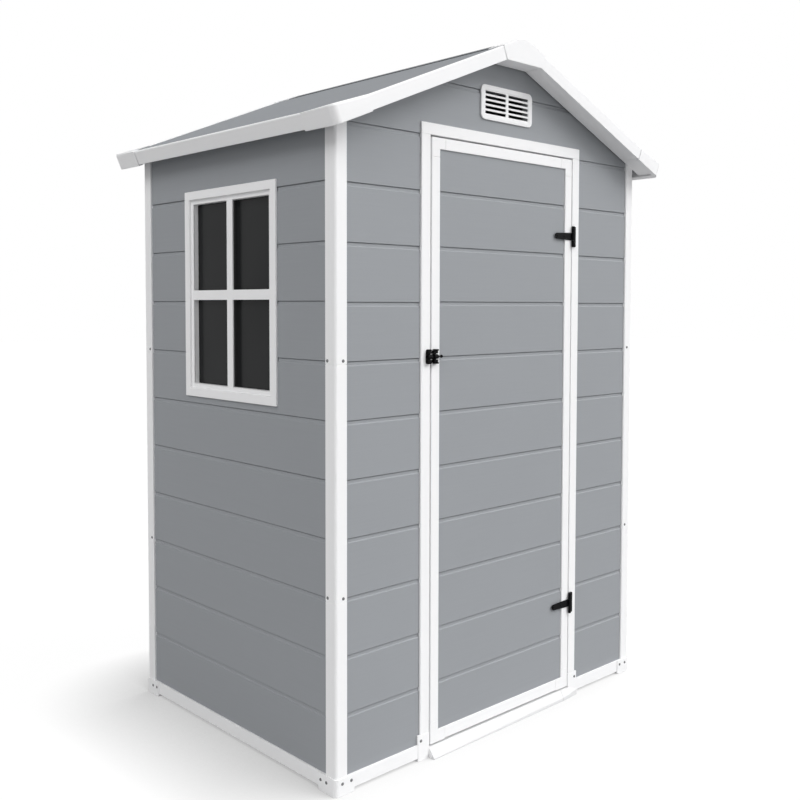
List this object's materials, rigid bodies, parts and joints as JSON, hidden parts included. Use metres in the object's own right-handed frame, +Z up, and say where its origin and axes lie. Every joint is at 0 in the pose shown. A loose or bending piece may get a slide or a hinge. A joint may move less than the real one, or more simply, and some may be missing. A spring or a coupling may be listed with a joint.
{
  "type": "resin garden shed",
  "caption": "Small apex-roofed resin garden shed with grey boarded walls, white trim, a hinged door with a sliding bolt, a side window and a gable vent.",
  "frame": {"origin": "on the ground under the middle of the shed", "axes": "+Z up, -Y towards the door side, -X towards the window side"},
  "size_m": [1.425, 1.084, 2.0003],
  "materials": {
    "grey_panel": "satin moulded resin with a faint board texture",
    "white_trim": "satin white moulded resin",
    "roof_panel": "satin moulded resin",
    "dark_cap": "matt moulded resin",
    "floor_panel": "matt moulded resin",
    "black_hardware": "black powder coat",
    "window_pane": "smoked acrylic"
  },
  "bodies": {
    "shed": {"wall_front_left": "grey_panel", "wall_front_right": "grey_panel", "gable_front": "grey_panel", "wall_left": "grey_panel", "wall_right": "grey_panel", "wall_back": "grey_panel", "base_rails_front": "white_trim", "base_rails_side": "white_trim", "base_rail_back": "white_trim", "corner_feet_front": "white_trim", "corner_feet_back": "white_trim", "jamb_feet": "white_trim", "door_sill": "white_trim", "post_front_left": "white_trim", "post_front_right": "white_trim", "post_back_left": "white_trim", "post_back_right": "white_trim", "jamb_left": "white_trim", "jamb_right": "white_trim", "door_header": "white_trim", "window_frame": "white_trim", "gable_vent": "white_trim", "apex_cap_front": "white_trim", "apex_cap_back": "white_trim", "rake_front_left": "white_trim", "rake_front_right": "white_trim", "rake_back_left": "white_trim", "rake_back_right": "white_trim", "eave_left": "white_trim", "eave_right": "white_trim", "eave_corners_front": "white_trim", "eave_corners_back": "white_trim", "floor_panel": "floor_panel", "roof_left": "roof_panel", "roof_right": "roof_panel", "ridge_cap": "dark_cap", "hinge_plates": "black_hardware", "latch_keeper": "black_hardware", "window_glass": "window_pane"},
    "door": {"door_panel": "grey_panel", "door_stiles": "white_trim", "door_rails": "white_trim", "hinge_straps": "black_hardware", "latch_body": "black_hardware"},
    "bolt": {"latch_bolt": "black_hardware"}
  },
  "joints": [
    {"name": "door_hinge", "type": "hinge", "parent": "shed", "child": "door", "pos_m": [0.3105, -0.4805, 0.88], "axis": [0, 0, 1], "range_deg": [0, 110]},
    {"name": "bolt_slide", "type": "slide", "parent": "door", "child": "bolt", "axis": [-1, 0, 0], "range_m": [0, 0.014]}
  ]
}
